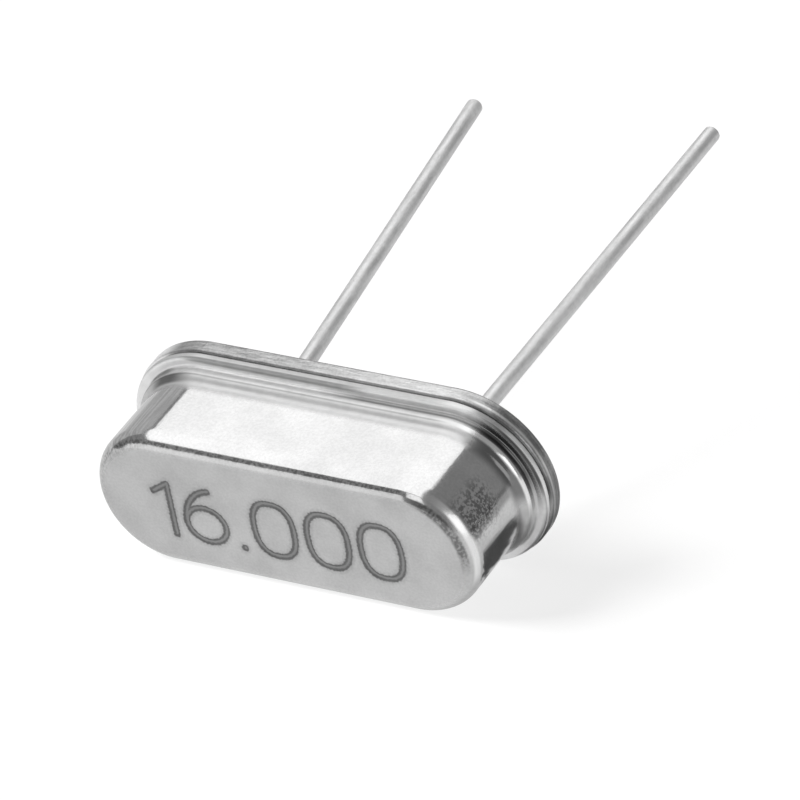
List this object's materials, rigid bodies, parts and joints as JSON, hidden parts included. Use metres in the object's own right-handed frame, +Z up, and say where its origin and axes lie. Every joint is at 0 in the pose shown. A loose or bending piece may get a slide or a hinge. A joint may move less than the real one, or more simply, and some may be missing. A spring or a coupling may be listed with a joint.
{
  "type": "crystal oscillator",
  "caption": "Low-profile quartz crystal in an oval welded metal can with a stepped foot and rim flange, on slim wire leads for a circuit board.",
  "frame": {"origin": "centre of the base's underside, midway between the leads, where the part seats on a board", "axes": "+Z up as the crystal lies on its long side, +X along the can, +Y the way the leads point, which rise by the lean at rest"},
  "size_m": [0.0112, 0.0168, 0.0054],
  "materials": {
    "cover_metal": "satin nickel-silver sheet, fine draw lines on the walls",
    "base_metal": "nickel-plated, sheared rough edge",
    "lead_metal": "tinned wire, soft sheen",
    "seal_glass": "dark sealing glass, glossy",
    "clip_metal": "plain spring strip",
    "quartz": "lapped, clear",
    "electrode_silver": "evaporated silver film",
    "bond_adhesive": "silver-filled adhesive, dull"
  },
  "bodies": {
    "root": {"cover": "cover_metal", "base": "base_metal", "left_lead": "lead_metal", "right_lead": "lead_metal", "left_glass_seal": "seal_glass", "right_glass_seal": "seal_glass", "left_clip": "clip_metal", "right_clip": "clip_metal", "quartz_blank": "quartz", "upper_electrode": "electrode_silver", "lower_electrode": "electrode_silver", "left_bond": "bond_adhesive", "right_bond": "bond_adhesive"}
  },
  "joints": []
}
